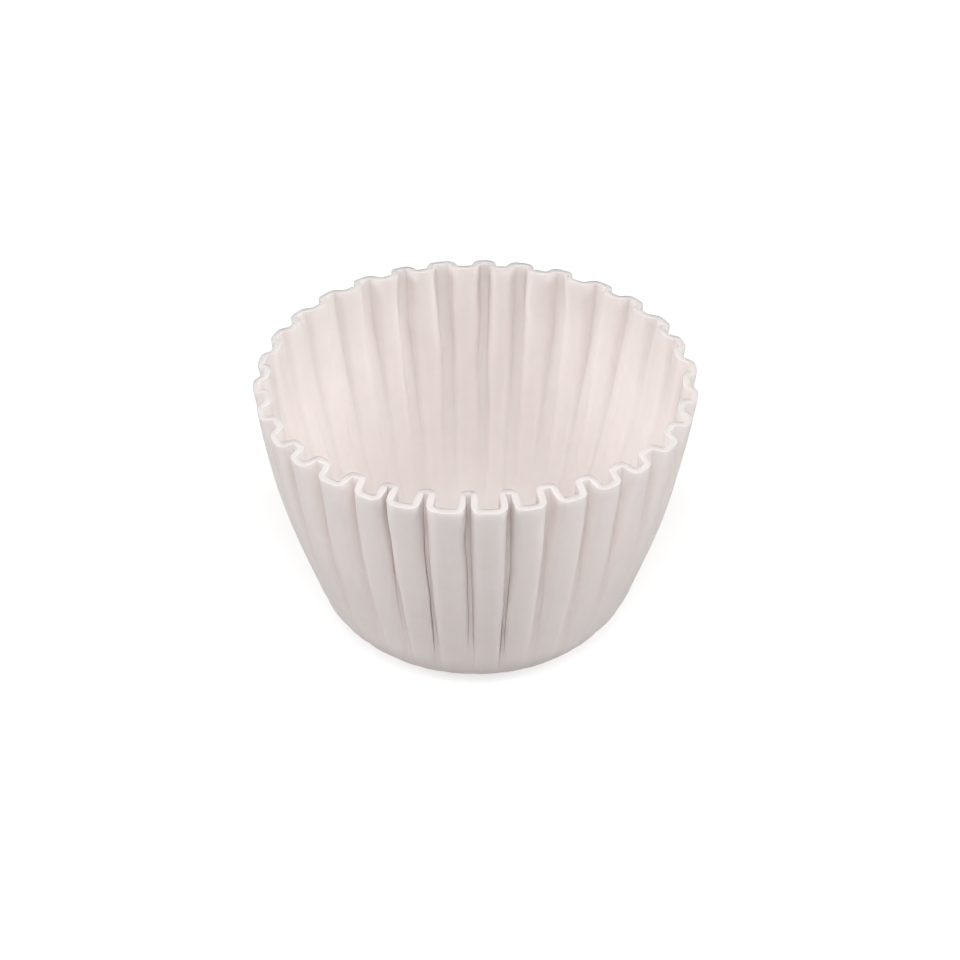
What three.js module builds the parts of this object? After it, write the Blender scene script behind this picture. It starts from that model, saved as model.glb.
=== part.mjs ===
import * as THREE from 'three';

// Paper candy cup: one round sheet of paper pressed into a fluted cup.
// The base stays flat. The wall turns up from it through a soft round corner
// and gathers into flutes: flat outer panels with narrow folds between them.
// Millimetres, +Z up, the origin at the centre of the underside.

// Wall profile, measured on the outside of the outer panels
const rimRadius = 24.7;
const cupHeight = 31.4;
const baseRadius = 9.8;
const cornerRadius = 9.0;
const wallBow = 0.75;
const wallThickness = 0.9;

// Flutes
const fluteCount = 31;
const fluteDepth = 2.8;
const foldGapShare = 0.21;
const legRunAtBase = 0.22;
const legRunAtRim = 0.04;
const roundingAcross = 0.4;
const roundingAlongLeg = 0.22;

// Small irregularities of paper that was pressed and handled
const frontFoldAngle = -1.606;
const frontBunching = 0.035;
const sideSpreading = 0.02;
const spacingWander = 0.006;
const depthWander = 0.07;

// Facets
const cornerRows = 4;
const wallRows = 6;

const paperColour = 0xe9dfdb;
const paperRoughness = 0.92;

// Angle between the wall and the vertical, which carries the wall from the
// end of the corner to the rim. The corner's end moves with the angle, so the
// angle is found by a few rounds of the same step.
function findWallAngle() {
  let angle = 0;
  for (let round = 0; round < 40; round++) {
    const cornerEnd = cornerPoint(Math.PI / 2 - angle);
    angle = Math.atan2(rimRadius - cornerEnd.x, cupHeight - cornerEnd.y);
  }
  return angle;
}

// Point on the corner's arc after it has turned up by the given angle
function cornerPoint(turn) {
  return new THREE.Vector2(
    baseRadius + cornerRadius * Math.sin(turn),
    cornerRadius * (1 - Math.cos(turn)),
  );
}

// One station of the profile: x is the radius, y the height, tilt the angle
// from the horizontal, and along the paper's length from the base's edge.
function profileStations() {
  const wallAngle = findWallAngle();
  const cornerTurn = Math.PI / 2 - wallAngle;
  const cornerLength = cornerRadius * cornerTurn;
  const cornerEnd = cornerPoint(cornerTurn);
  const rim = new THREE.Vector2(rimRadius, cupHeight);
  const wallLength = cornerEnd.distanceTo(rim);
  const outward = new THREE.Vector2(Math.cos(wallAngle), -Math.sin(wallAngle));
  const stations = [];
  for (let row = 0; row <= cornerRows; row++) {
    const turn = (cornerTurn * row) / cornerRows;
    stations.push({ point: cornerPoint(turn), tilt: turn, along: cornerRadius * turn });
  }
  for (let row = 1; row <= wallRows; row++) {
    const share = row / wallRows;
    const bulge = wallBow * Math.sin(Math.PI * share);
    const point = cornerEnd.clone().lerp(rim, share).addScaledVector(outward, bulge);
    stations.push({ point, tilt: cornerTurn, along: cornerLength + wallLength * share });
  }
  return stations;
}

// Rounds the corner at b of the line a, b, c by cutting it off at two points
function cutCorner(a, b, c, shareBefore, shareAfter) {
  return [b.clone().lerp(a, shareBefore), b.clone().lerp(c, shareAfter)];
}

// Section of one flute across the wall, for one side of the paper. x runs
// round the cup from the middle of the fold, y from the outer panels inwards.
// side is -1 for the outside of the paper and 1 for its inside.
function fluteSection(pitch, depth, legRun, side) {
  const legSlope = Math.atan2(depth, legRun);
  const mitre = (wallThickness / 2) * Math.tan(legSlope / 2);
  const foldHalf = (foldGapShare * pitch) / 2 + mitre + side * mitre;
  const panelEdge = foldHalf + legRun;
  const level = (wallThickness / 2) * (1 + side);
  const panelMiddle = new THREE.Vector2(pitch / 2, level);
  const panelCorner = new THREE.Vector2(panelEdge, level);
  const foldCorner = new THREE.Vector2(foldHalf, level + depth);
  const foldMiddle = new THREE.Vector2(0, level + depth);
  const right = [
    ...cutCorner(foldMiddle, foldCorner, panelCorner, roundingAcross, roundingAlongLeg),
    ...cutCorner(foldCorner, panelCorner, panelMiddle, roundingAlongLeg, roundingAcross),
  ];
  const left = right.map((point) => new THREE.Vector2(-point.x, point.y)).reverse();
  return [...left, ...right];
}

// Angle round the cup of a place counted in flutes. The flutes stand closest
// together at the front and widest at the two sides, and wander slightly.
function angleAt(place) {
  const turn = (place / fluteCount) * Math.PI * 2;
  const crowding = frontBunching * Math.sin(turn) + sideSpreading * Math.sin(2 * turn);
  const wander = spacingWander * (Math.sin(5 * turn) + Math.sin(11 * turn + 1));
  return frontFoldAngle + turn - crowding + wander;
}

function foldDepth(flute) {
  const turn = (flute / fluteCount) * Math.PI * 2;
  return fluteDepth * (1 + depthWander * Math.sin(7 * turn + 2));
}

// Ring of points round the cup at one station, for one side of the paper
function ringAt(station, length, side) {
  const share = station.along / length;
  const pitch = (2 * Math.PI * station.point.x) / fluteCount;
  const legRun = pitch * THREE.MathUtils.lerp(legRunAtBase, legRunAtRim, share);
  const ring = [];
  for (let flute = 0; flute < fluteCount; flute++) {
    const depth = foldDepth(flute) * share;
    for (const spot of fluteSection(pitch, depth, legRun, side)) {
      const angle = angleAt(flute + spot.x / pitch);
      const radius = station.point.x - spot.y * Math.sin(station.tilt);
      const height = station.point.y + spot.y * Math.cos(station.tilt);
      ring.push([radius * Math.cos(angle), radius * Math.sin(angle), height]);
    }
  }
  return ring;
}

// Two triangles for each step of the band between two rings
function addBand(triangles, lower, upper, count) {
  for (let step = 0; step < count; step++) {
    const next = (step + 1) % count;
    triangles.push(lower + step, lower + next, upper + next);
    triangles.push(lower + step, upper + next, upper + step);
  }
}

// The paper's outside, its inside, the rim's edge and the two base faces
function cupGeometry() {
  const stations = profileStations();
  const length = stations[stations.length - 1].along;
  const outside = stations.map((station) => ringAt(station, length, -1));
  const inside = stations.map((station) => ringAt(station, length, 1)).reverse();
  const rings = [...outside, ...inside];
  const count = rings[0].length;
  const points = rings.flat();
  const triangles = [];
  for (let ring = 0; ring < rings.length - 1; ring++) {
    addBand(triangles, ring * count, (ring + 1) * count, count);
  }
  const underside = points.push([0, 0, 0]) - 1;
  const floor = points.push([0, 0, wallThickness]) - 1;
  const lastRing = (rings.length - 1) * count;
  for (let step = 0; step < count; step++) {
    const next = (step + 1) % count;
    triangles.push(underside, next, step);
    triangles.push(floor, lastRing + step, lastRing + next);
  }
  const geometry = new THREE.BufferGeometry();
  geometry.setAttribute('position', new THREE.Float32BufferAttribute(points.flat(), 3));
  geometry.setIndex(triangles);
  geometry.computeVertexNormals();
  return geometry;
}

function paperMaterial() {
  return new THREE.MeshStandardMaterial({
    color: paperColour,
    roughness: paperRoughness,
    metalness: 0,
  });
}

function candyCup() {
  const cup = new THREE.Mesh(cupGeometry(), paperMaterial());
  cup.name = 'cup';
  return cup;
}

const object = new THREE.Group();
object.add(candyCup());

export default object;
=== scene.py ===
"""Looks of a fluted paper candy cup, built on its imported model.

One sheet of greaseproof paper pressed into a cup: a flat base, a soft round
corner and a wall gathered into flutes. Everything is in metres, +Z up, with
the origin at the centre of the underside.
"""

import math

import bpy
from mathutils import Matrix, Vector


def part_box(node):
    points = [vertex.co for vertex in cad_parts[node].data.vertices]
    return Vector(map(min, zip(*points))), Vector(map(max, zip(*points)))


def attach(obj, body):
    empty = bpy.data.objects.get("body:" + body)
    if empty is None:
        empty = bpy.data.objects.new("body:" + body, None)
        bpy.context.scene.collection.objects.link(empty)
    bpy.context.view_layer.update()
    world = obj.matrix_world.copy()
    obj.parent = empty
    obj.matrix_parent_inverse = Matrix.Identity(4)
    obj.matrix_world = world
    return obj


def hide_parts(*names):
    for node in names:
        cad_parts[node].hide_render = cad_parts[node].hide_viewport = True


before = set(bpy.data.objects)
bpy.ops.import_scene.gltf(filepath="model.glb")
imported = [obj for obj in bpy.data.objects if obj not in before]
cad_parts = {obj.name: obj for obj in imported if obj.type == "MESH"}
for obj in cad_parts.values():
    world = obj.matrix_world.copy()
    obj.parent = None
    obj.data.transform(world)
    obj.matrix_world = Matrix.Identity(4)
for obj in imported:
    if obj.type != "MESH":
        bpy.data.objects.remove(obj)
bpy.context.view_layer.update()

CUP_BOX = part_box("cup")
FULL_TURN = 2 * math.pi

# Angle of the fold nearest to the front, from +X
FRONT_FOLD = -1.606

# Mesh of the sheet
COLUMNS_PER_FLUTE = 24
ROWS = 52
ROW_CROWDING = 1.5
SEAM_GAP = 0.00001

# How fast the front's square folds give way to soft ones towards the sides,
# and how fast the folds get square from the base up
FRONT_FOCUS = 8.0
SQUARE_RISE = 0.75

# Scale and shift of the noises that move, deepen and dent the folds
NOISE_CLIMB = 0.8
FOLD_NOISE = (4.5, 0.0)
DEPTH_NOISE = (5.5, 7.0)
DENT_NOISE = (2.6, 13.0)
SPACING_WANDER = 0.006

# Stage: each lamp's name, place, width and power, then the rest
LAMPS = (
    ("left_lamp", (-0.51, -0.09, 0.3), 0.3, 1.36),
    ("right_lamp", (0.51, -0.09, 0.3), 0.3, 1.36),
    ("front_lamp", (0, -0.34, 0.49), 0.3, 2.2),
)
LAMP_AIM = (0, 0, 0.015)
LAMP_COLOUR = (1.0, 0.975, 0.962)
WORLD_LIGHT = 0.12
WHITE = (1, 1, 1, 1)
FLOOR_REACH = 3.0
FLOOR_DROP = 0.00002
FLOOR_LIFT = 0.7
CAMERA_ELEVATION = math.radians(34.7)
CAMERA_DISTANCE = 0.353
CAMERA_LENS = 119.5
CAMERA_AIM = (0.00047, 0, 0.0177)
RIM_CENTRE = (0, 0, 0.0314)

bl_info = {
    "name": "Paper Candy Cup",
    "version": (1, 0, 0),
    "blender": (4, 5, 0),
    "location": "3D View > Sidebar > Candy Cup",
    "description": "Fluted paper candy cup with its studio stage",
    "category": "Add Mesh",
}


class CandyCupSizes(bpy.types.PropertyGroup):
    """Sizes of the pressed sheet"""

    rim_radius: bpy.props.FloatProperty(
        name="Rim radius",
        description="From the axis to the outside of the outer panels at the rim",
        default=CUP_BOX[1].x,
        unit="LENGTH",
    )
    panel_height: bpy.props.FloatProperty(
        name="Panel height",
        description="Height of the outer panels' top edge",
        default=0.0314,
        unit="LENGTH",
    )
    base_radius: bpy.props.FloatProperty(
        name="Base radius",
        description="Radius of the flat base, up to where the corner starts",
        default=0.0098,
        unit="LENGTH",
    )
    corner_radius: bpy.props.FloatProperty(
        name="Corner radius",
        description="Radius of the bend from the base into the wall",
        default=0.009,
        unit="LENGTH",
    )
    wall_bow: bpy.props.FloatProperty(
        name="Wall bow",
        description="How far the wall bulges outwards between corner and rim",
        default=0.00075,
        unit="LENGTH",
    )
    thickness: bpy.props.FloatProperty(
        name="Paper thickness",
        description="Thickness of the wall as it shows at the rim",
        default=0.00075,
        unit="LENGTH",
    )
    flute_count: bpy.props.IntProperty(
        name="Flutes",
        description="Number of folds round the wall",
        default=31,
        min=8,
    )
    flute_depth: bpy.props.FloatProperty(
        name="Flute depth",
        description="Depth of the folds at the rim",
        default=0.0025,
        unit="LENGTH",
    )
    depth_growth: bpy.props.FloatProperty(
        name="Depth growth",
        description="1 deepens the folds evenly up the wall, more keeps them faint near the base",
        default=1.6,
    )
    flute_start: bpy.props.FloatProperty(
        name="Flute start",
        description="Where the folds begin, as a share of the paper from the base's edge to the rim",
        default=0.12,
    )
    squareness_at_base: bpy.props.FloatProperty(
        name="Squareness at the base",
        description="0 gives soft waves, 1 gives flat panels with upright sides",
        default=0.2,
    )
    squareness_at_rim: bpy.props.FloatProperty(
        name="Squareness at the rim",
        description="0 gives soft waves, 1 gives flat panels with upright sides",
        default=1.0,
    )
    fold_pinch: bpy.props.FloatProperty(
        name="Fold pinch",
        description="How much narrower the front's folds are than its outer panels",
        default=0.62,
    )
    seed: bpy.props.FloatProperty(
        name="Seed",
        description="Picks another set of irregularities",
        default=3.0,
    )


class CandyCupColours(bpy.types.PropertyGroup):
    """Colours of the paper and of the stage"""

    paper: bpy.props.FloatVectorProperty(
        name="Paper",
        description="Main colour of the paper",
        subtype="COLOR",
        default=(0.895, 0.823, 0.805),
        min=0,
        max=1,
    )
    paper_thin: bpy.props.FloatVectorProperty(
        name="Thin paper",
        description="Colour where the sheet's fibres lie thinner",
        subtype="COLOR",
        default=(0.875, 0.799, 0.78),
        min=0,
        max=1,
    )
    floor: bpy.props.FloatVectorProperty(
        name="Floor",
        description="Colour of the floor",
        subtype="COLOR",
        default=(0.48, 0.48, 0.48),
        min=0,
        max=1,
    )


class Amount:
    """A number in a node tree that can be added, multiplied and so on"""

    def __init__(self, tree, source):
        self.tree = tree
        self.source = source

    def combine(self, operation, *others):
        node = self.tree.nodes.new("ShaderNodeMath")
        node.operation = operation
        for socket, value in zip(node.inputs, (self, *others)):
            if isinstance(value, Amount):
                self.tree.links.new(value.source, socket)
            else:
                socket.default_value = value
        return Amount(self.tree, node.outputs[0])

    def __add__(self, other):
        return self.combine("ADD", other)

    def __sub__(self, other):
        return self.combine("SUBTRACT", other)

    def __mul__(self, other):
        return self.combine("MULTIPLY", other)

    def __truediv__(self, other):
        return self.combine("DIVIDE", other)

    def sine(self):
        return self.combine("SINE")

    def cosine(self):
        return self.combine("COSINE")

    def power(self, exponent):
        return self.combine("POWER", exponent)

    def at_most(self, limit):
        return self.combine("MINIMUM", limit)

    def at_least(self, limit):
        return self.combine("MAXIMUM", limit)


def blend_amounts(low, high, share):
    return low + (high - low) * share


def add_node(tree, kind, **settings):
    node = tree.nodes.new(kind)
    for name, value in settings.items():
        setattr(node, name, value)
    return node


def noise_amount(tree, vector, seed, scale, shift):
    """Soft noise between about -0.5 and 0.5 at a place given by a vector"""
    node = add_node(tree, "ShaderNodeTexNoise", noise_dimensions="4D")
    tree.links.new(vector, node.inputs["Vector"])
    tree.links.new((seed + shift).source, node.inputs["W"])
    node.inputs["Scale"].default_value = scale
    node.inputs["Detail"].default_value = 1.0
    return Amount(tree, node.outputs["Fac"]) - 0.5


class WallProfile:
    """The wall's derived sizes, worked out once from the sheet's sizes"""

    def __init__(self, sizes):
        angle = 0.0
        for _ in range(40):
            turn = math.pi / 2 - angle
            end_radius = sizes.base_radius + sizes.corner_radius * math.sin(turn)
            end_height = sizes.corner_radius * (1 - math.cos(turn))
            across = sizes.rim_radius - end_radius
            up = sizes.panel_height - end_height
            angle = math.atan2(across, up)
        self.angle = angle
        self.turn = math.pi / 2 - angle
        self.corner_length = sizes.corner_radius * self.turn
        self.wall_length = math.hypot(across, up)


SHEET_INPUTS = (
    "Columns",
    "Rows",
    "Base Radius",
    "Corner Radius",
    "Corner Turn",
    "Corner Length",
    "Wall Angle",
    "Wall Length",
    "Wall Bow",
    "Thickness",
    "Flutes",
    "Flute Depth",
    "Depth Growth",
    "Flute Start",
    "Back Flattening",
    "Side Flattening",
    "Squareness at Base",
    "Squareness at Rim",
    "Back Softening",
    "Fold Pinch",
    "Front Bunching",
    "Side Spreading",
    "Fold Wander",
    "Depth Wander",
    "Dent",
    "Seed",
)
WHOLE_NUMBERS = ("Columns", "Rows")


def make_sheet_tree():
    """Tree that bends a flat grid into the middle surface of the cup's paper"""
    tree = bpy.data.node_groups.new("Pressed Paper Sheet", "GeometryNodeTree")
    face = tree.interface
    face.new_socket("Geometry", in_out="OUTPUT", socket_type="NodeSocketGeometry")
    for name in SHEET_INPUTS:
        kind = "NodeSocketInt" if name in WHOLE_NUMBERS else "NodeSocketFloat"
        face.new_socket(name, in_out="INPUT", socket_type=kind)
    face.new_socket("Material", in_out="INPUT", socket_type="NodeSocketMaterial")
    entry = add_node(tree, "NodeGroupInput")
    size = {name: Amount(tree, entry.outputs[name]) for name in SHEET_INPUTS}

    grid = add_node(tree, "GeometryNodeMeshGrid")
    tree.links.new((size["Columns"] + 1).source, grid.inputs["Vertices X"])
    tree.links.new((size["Rows"] + 1).source, grid.inputs["Vertices Y"])
    grid.inputs["Size X"].default_value = 1.0
    grid.inputs["Size Y"].default_value = 1.0
    spot = add_node(tree, "GeometryNodeInputPosition")
    split = add_node(tree, "ShaderNodeSeparateXYZ")
    tree.links.new(spot.outputs[0], split.inputs[0])
    round_share = Amount(tree, split.outputs["X"]) + 0.5
    up_share = Amount(tree, split.outputs["Y"]) + 0.5

    # Length of paper from the base's edge, with closer rows towards the rim
    total = size["Base Radius"] + size["Corner Length"] + size["Wall Length"]
    eased = (up_share * -1 + 1).at_least(0.0).power(ROW_CROWDING) * -1 + 1
    along = eased * total - size["Base Radius"]
    bend = (along / size["Corner Radius"]).at_least(0.0).at_most(size["Corner Turn"])
    on_wall = (along - size["Corner Length"]).at_least(0.0)
    bulge = (on_wall / size["Wall Length"] * math.pi).sine() * size["Wall Bow"]
    radius = size["Base Radius"] + along.at_most(0.0)
    radius = radius + size["Corner Radius"] * bend.sine()
    radius = radius + on_wall * size["Wall Angle"].sine()
    radius = radius + bulge * size["Wall Angle"].cosine()
    height = size["Corner Radius"] * (bend.cosine() * -1 + 1)
    height = height + on_wall * size["Wall Angle"].cosine()
    height = height - bulge * size["Wall Angle"].sine()
    grown = along.at_least(0.0) / (size["Corner Length"] + size["Wall Length"])

    # Places on an even ring for the noise, so that it closes round the cup
    ring = add_node(tree, "ShaderNodeCombineXYZ")
    even_turn = round_share * FULL_TURN
    tree.links.new(even_turn.cosine().source, ring.inputs["X"])
    tree.links.new(even_turn.sine().source, ring.inputs["Y"])
    tree.links.new((grown * NOISE_CLIMB).source, ring.inputs["Z"])
    fold_noise = noise_amount(tree, ring.outputs[0], size["Seed"], *FOLD_NOISE)
    depth_noise = noise_amount(tree, ring.outputs[0], size["Seed"], *DEPTH_NOISE)
    dent_noise = noise_amount(tree, ring.outputs[0], size["Seed"], *DENT_NOISE)

    # The flutes: a wave whose sides stand up as it gets squarer. It is
    # squarest at the front, where the folds are also narrower than the panels.
    place = round_share * size["Flutes"]
    phase = place * FULL_TURN
    front = (even_turn.cosine() * 0.5 + 0.5).at_least(0.0).power(FRONT_FOCUS)
    risen = grown.power(SQUARE_RISE)
    square = blend_amounts(size["Squareness at Base"], size["Squareness at Rim"], risen)
    square = square - size["Back Softening"] * (front * -1 + 1) * risen
    moved = place + square * (phase * 2).sine() / (2 * FULL_TURN)
    moved = moved - size["Fold Pinch"] * front * phase.sine() / FULL_TURN
    moved = moved + fold_noise * size["Fold Wander"] * grown
    wave = (phase.cosine() * (math.pi / 2)).sine() * 0.5 + 0.5

    # Their depth grows from above the base's edge to the rim, and is less at
    # the sides and the back than at the front
    folded = (grown - size["Flute Start"]) / (size["Flute Start"] * -1 + 1)
    folded = folded.at_least(0.0)
    depth = size["Flute Depth"] * folded.power(size["Depth Growth"])
    depth = depth * (depth_noise * size["Depth Wander"] + 1)
    to_back = even_turn.cosine() * -1 + 1
    to_side = (even_turn * 2).cosine() * -1 + 1
    shallower = size["Back Flattening"] * to_back + size["Side Flattening"] * to_side
    depth = depth * (shallower * -1 + 1)
    inward = wave * depth + size["Thickness"] * 0.5
    inward = inward + dent_noise * size["Dent"] * grown

    turn = moved / size["Flutes"] * FULL_TURN
    wander = (turn * 5).sine() * SPACING_WANDER
    wander = wander + (turn * 11 + 1).sine() * SPACING_WANDER
    crowding = size["Front Bunching"] * turn.sine() + size["Side Spreading"] * (turn * 2).sine()
    angle = turn + FRONT_FOLD - crowding + wander
    radius = radius - inward * bend.sine()
    height = height + inward * bend.cosine()

    put = add_node(tree, "ShaderNodeCombineXYZ")
    tree.links.new((radius * angle.cosine()).source, put.inputs["X"])
    tree.links.new((radius * angle.sine()).source, put.inputs["Y"])
    tree.links.new(height.source, put.inputs["Z"])
    place_points = add_node(tree, "GeometryNodeSetPosition")
    tree.links.new(grid.outputs["Mesh"], place_points.inputs["Geometry"])
    tree.links.new(put.outputs[0], place_points.inputs["Position"])
    close_seam = add_node(tree, "GeometryNodeMergeByDistance")
    close_seam.inputs["Distance"].default_value = SEAM_GAP
    tree.links.new(place_points.outputs[0], close_seam.inputs["Geometry"])
    realize = add_node(tree, "GeometryNodeRealizeInstances")
    tree.links.new(close_seam.outputs[0], realize.inputs["Geometry"])
    dress = add_node(tree, "GeometryNodeSetMaterial")
    tree.links.new(realize.outputs[0], dress.inputs["Geometry"])
    tree.links.new(entry.outputs["Material"], dress.inputs["Material"])
    leave = add_node(tree, "NodeGroupOutput")
    tree.links.new(dress.outputs[0], leave.inputs["Geometry"])
    return tree


def sheet_values(sizes):
    """Values for the tree's inputs, by the names of its sockets"""
    profile = WallProfile(sizes)
    return {
        "Columns": sizes.flute_count * COLUMNS_PER_FLUTE,
        "Rows": ROWS,
        "Base Radius": sizes.base_radius,
        "Corner Radius": sizes.corner_radius,
        "Corner Turn": profile.turn,
        "Corner Length": profile.corner_length,
        "Wall Angle": profile.angle,
        "Wall Length": profile.wall_length,
        "Wall Bow": sizes.wall_bow,
        "Thickness": sizes.thickness,
        "Flutes": float(sizes.flute_count),
        "Flute Depth": sizes.flute_depth,
        "Depth Growth": sizes.depth_growth,
        "Flute Start": sizes.flute_start,
        "Back Flattening": 0.1,
        "Side Flattening": 0.23,
        "Squareness at Base": sizes.squareness_at_base,
        "Squareness at Rim": sizes.squareness_at_rim,
        "Back Softening": 0.5,
        "Fold Pinch": sizes.fold_pinch,
        "Front Bunching": 0.035,
        "Side Spreading": 0.02,
        "Fold Wander": 0.3,
        "Depth Wander": 0.35,
        "Dent": 0.0006,
        "Seed": sizes.seed,
    }


def grow_from_tree(name, tree, values):
    """Runs a tree on an empty mesh and gives back the plain mesh it makes"""
    holder = bpy.data.objects.new(name + "_holder", bpy.data.meshes.new(name))
    bpy.context.scene.collection.objects.link(holder)
    modifier = holder.modifiers.new("Sheet", "NODES")
    modifier.node_group = tree
    for item in tree.interface.items_tree:
        if item.in_out == "INPUT":
            modifier[item.identifier] = values[item.name]
    shape = holder.evaluated_get(bpy.context.evaluated_depsgraph_get())
    mesh = bpy.data.meshes.new_from_object(shape)
    bpy.data.objects.remove(holder)
    mesh.name = name
    return mesh


def paper_material(colours):
    """Matt greaseproof paper: cloudy fibres, a faint grain and some light let through"""
    material = bpy.data.materials.new("greaseproof_paper")
    material.use_nodes = True
    tree = material.node_tree
    shader = tree.nodes["Principled BSDF"]
    place = add_node(tree, "ShaderNodeTexCoord")

    clouds = add_node(tree, "ShaderNodeTexNoise")
    clouds.inputs["Scale"].default_value = 420.0
    clouds.inputs["Detail"].default_value = 4.0
    clouds.inputs["Roughness"].default_value = 0.6
    tree.links.new(place.outputs["Object"], clouds.inputs["Vector"])
    tint = add_node(tree, "ShaderNodeMix", data_type="RGBA")
    tint.inputs["A"].default_value = (*colours.paper_thin, 1)
    tint.inputs["B"].default_value = (*colours.paper, 1)
    spread = add_node(tree, "ShaderNodeMapRange")
    spread.inputs["From Min"].default_value = 0.3
    spread.inputs["From Max"].default_value = 0.7
    tree.links.new(clouds.outputs["Fac"], spread.inputs["Value"])
    tree.links.new(spread.outputs["Result"], tint.inputs["Factor"])
    tree.links.new(tint.outputs["Result"], shader.inputs["Base Color"])

    fibres = add_node(tree, "ShaderNodeTexNoise")
    fibres.inputs["Scale"].default_value = 3800.0
    fibres.inputs["Detail"].default_value = 3.0
    tree.links.new(place.outputs["Object"], fibres.inputs["Vector"])
    grain = add_node(tree, "ShaderNodeBump")
    grain.inputs["Strength"].default_value = 0.25
    grain.inputs["Distance"].default_value = 0.00004
    tree.links.new(fibres.outputs["Fac"], grain.inputs["Height"])
    tree.links.new(grain.outputs["Normal"], shader.inputs["Normal"])
    matt = add_node(tree, "ShaderNodeMapRange")
    matt.inputs["To Min"].default_value = 0.82
    matt.inputs["To Max"].default_value = 0.96
    tree.links.new(fibres.outputs["Fac"], matt.inputs["Value"])
    tree.links.new(matt.outputs["Result"], shader.inputs["Roughness"])

    shader.inputs["Specular IOR Level"].default_value = 0.25
    shader.inputs["Subsurface Weight"].default_value = 1.0
    shader.inputs["Subsurface Radius"].default_value = (1.0, 0.95, 0.92)
    shader.inputs["Subsurface Scale"].default_value = 0.002
    return material


def floor_material(colours):
    """Pale floor that the camera sees as white, with the object's shadow kept"""
    material = bpy.data.materials.new("studio_floor")
    material.use_nodes = True
    tree = material.node_tree
    shader = tree.nodes["Principled BSDF"]
    shader.inputs["Base Color"].default_value = (*colours.floor, 1)
    shader.inputs["Roughness"].default_value = 0.9
    shader.inputs["Specular IOR Level"].default_value = 0.1
    path = add_node(tree, "ShaderNodeLightPath")
    lift = Amount(tree, path.outputs["Is Camera Ray"]) * FLOOR_LIFT
    shader.inputs["Emission Color"].default_value = WHITE
    tree.links.new(lift.source, shader.inputs["Emission Strength"])
    return material


class CANDYCUP_OT_make_cup(bpy.types.Operator):
    """Presses the paper sheet into the fluted cup"""

    bl_idname = "candycup.make_cup"
    bl_label = "Make cup"

    def execute(self, context):
        sizes = context.scene.candy_cup_sizes
        material = paper_material(context.scene.candy_cup_colours)
        values = sheet_values(sizes)
        values["Material"] = material
        mesh = grow_from_tree("paper_cup", make_sheet_tree(), values)
        mesh.shade_smooth()
        cup = bpy.data.objects.new("paper_cup", mesh)
        context.scene.collection.objects.link(cup)
        wall = cup.modifiers.new("Wall", "SOLIDIFY")
        wall.thickness = sizes.thickness
        wall.offset = 0.0
        wall.use_even_offset = False
        soften = cup.modifiers.new("Soft edge", "BEVEL")
        soften.limit_method = "ANGLE"
        soften.angle_limit = math.radians(60)
        soften.width = sizes.thickness * 0.42
        soften.segments = 4
        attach(cup, "root")
        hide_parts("cup")
        return {"FINISHED"}


def add_soft_lamp(name, place, width, watts):
    light = bpy.data.lights.new(name, "AREA")
    light.shape = "DISK"
    light.size = width
    light.energy = watts
    light.color = LAMP_COLOUR
    lamp = bpy.data.objects.new(name, light)
    lamp.location = place
    look = Vector(LAMP_AIM) - Vector(place)
    lamp.rotation_euler = look.to_track_quat("-Z", "Y").to_euler()
    bpy.context.scene.collection.objects.link(lamp)


def add_camera():
    """Camera at the photo's angle, in front of the cup and above it"""
    away = Vector((0, -math.cos(CAMERA_ELEVATION), math.sin(CAMERA_ELEVATION)))
    data = bpy.data.cameras.new("camera")
    data.lens = CAMERA_LENS
    data.clip_start = 0.01
    camera = bpy.data.objects.new("camera", data)
    camera.location = Vector(RIM_CENTRE) + away * CAMERA_DISTANCE
    look = Vector(CAMERA_AIM) - camera.location
    camera.rotation_euler = look.to_track_quat("-Z", "Y").to_euler()
    bpy.context.scene.collection.objects.link(camera)
    bpy.context.scene.camera = camera


def add_floor(colours):
    reach = FLOOR_REACH
    corners = [(-reach, -reach, 0), (reach, -reach, 0), (reach, reach, 0), (-reach, reach, 0)]
    mesh = bpy.data.meshes.new("floor")
    mesh.from_pydata(corners, [], [(0, 1, 2, 3)])
    floor = bpy.data.objects.new("floor", mesh)
    floor.data.materials.append(floor_material(colours))
    floor.location.z = -FLOOR_DROP
    bpy.context.scene.collection.objects.link(floor)


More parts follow.
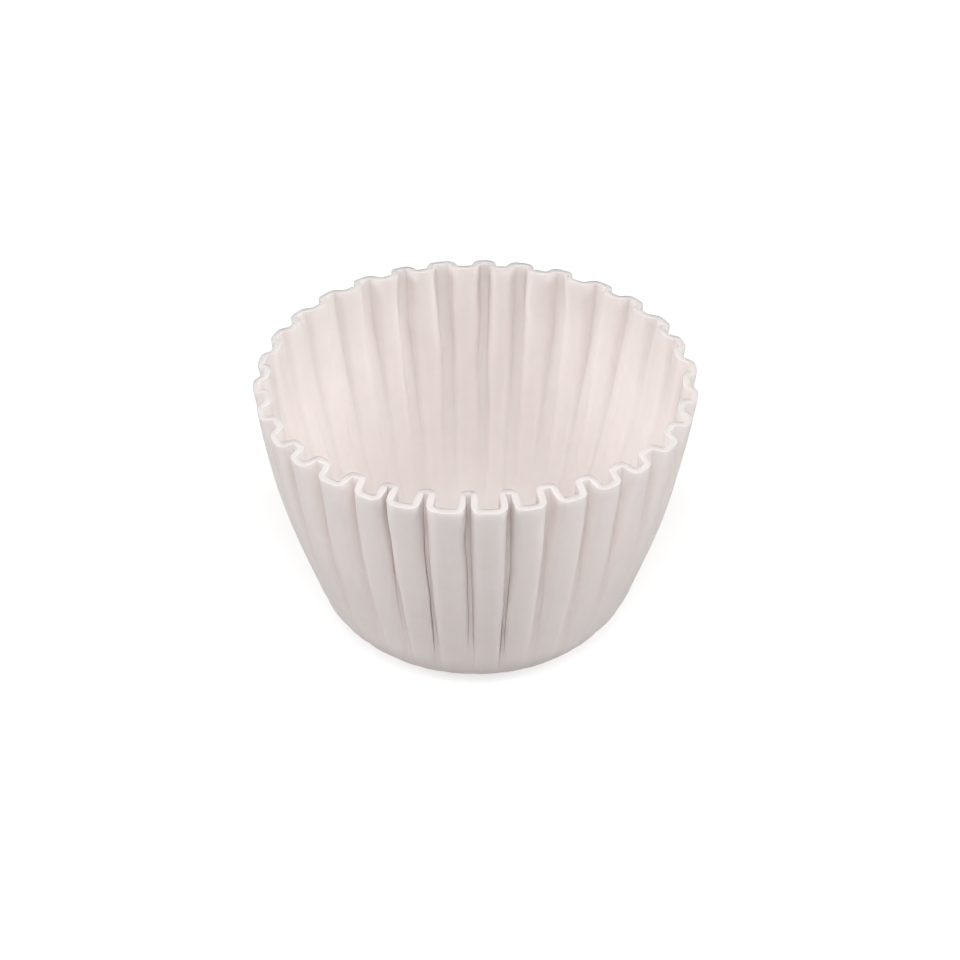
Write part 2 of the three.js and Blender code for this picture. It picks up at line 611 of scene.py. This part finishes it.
def add_world():
    """Faint even light on the cup, and white where the camera looks past the floor"""
    world = bpy.data.worlds.new("studio")
    world.use_nodes = True
    tree = world.node_tree
    glow = tree.nodes["Background"]
    glow.inputs["Color"].default_value = WHITE
    path = add_node(tree, "ShaderNodeLightPath")
    lift = Amount(tree, path.outputs["Is Camera Ray"]) * (1 - WORLD_LIGHT)
    tree.links.new((lift + WORLD_LIGHT).source, glow.inputs["Strength"])
    bpy.context.scene.world = world


class CANDYCUP_OT_make_stage(bpy.types.Operator):
    """Sets the pale floor, the soft lamps and the camera"""

    bl_idname = "candycup.make_stage"
    bl_label = "Make stage"

    def execute(self, context):
        add_floor(context.scene.candy_cup_colours)
        for lamp in LAMPS:
            add_soft_lamp(*lamp)
        add_world()
        context.scene.view_settings.view_transform = "Standard"
        add_camera()
        return {"FINISHED"}


class CANDYCUP_PT_panel(bpy.types.Panel):
    """Sizes, colours and making steps of the candy cup"""

    bl_idname = "CANDYCUP_PT_panel"
    bl_label = "Candy Cup"
    bl_space_type = "VIEW_3D"
    bl_region_type = "UI"
    bl_category = "Candy Cup"

    def draw(self, context):
        layout = self.layout
        for group in (context.scene.candy_cup_sizes, context.scene.candy_cup_colours):
            for name in group.__annotations__:
                layout.prop(group, name)
        layout.operator(CANDYCUP_OT_make_cup.bl_idname)
        layout.operator(CANDYCUP_OT_make_stage.bl_idname)


CLASSES = (
    CandyCupSizes,
    CandyCupColours,
    CANDYCUP_OT_make_cup,
    CANDYCUP_OT_make_stage,
    CANDYCUP_PT_panel,
)


def register():
    for item in CLASSES:
        bpy.utils.register_class(item)
    bpy.types.Scene.candy_cup_sizes = bpy.props.PointerProperty(type=CandyCupSizes)
    bpy.types.Scene.candy_cup_colours = bpy.props.PointerProperty(type=CandyCupColours)


def unregister():
    del bpy.types.Scene.candy_cup_colours
    del bpy.types.Scene.candy_cup_sizes
    for item in reversed(CLASSES):
        bpy.utils.unregister_class(item)


def main():
    register()
    bpy.ops.candycup.make_cup()
    bpy.ops.candycup.make_stage()


if __name__ == "__main__":
    main()
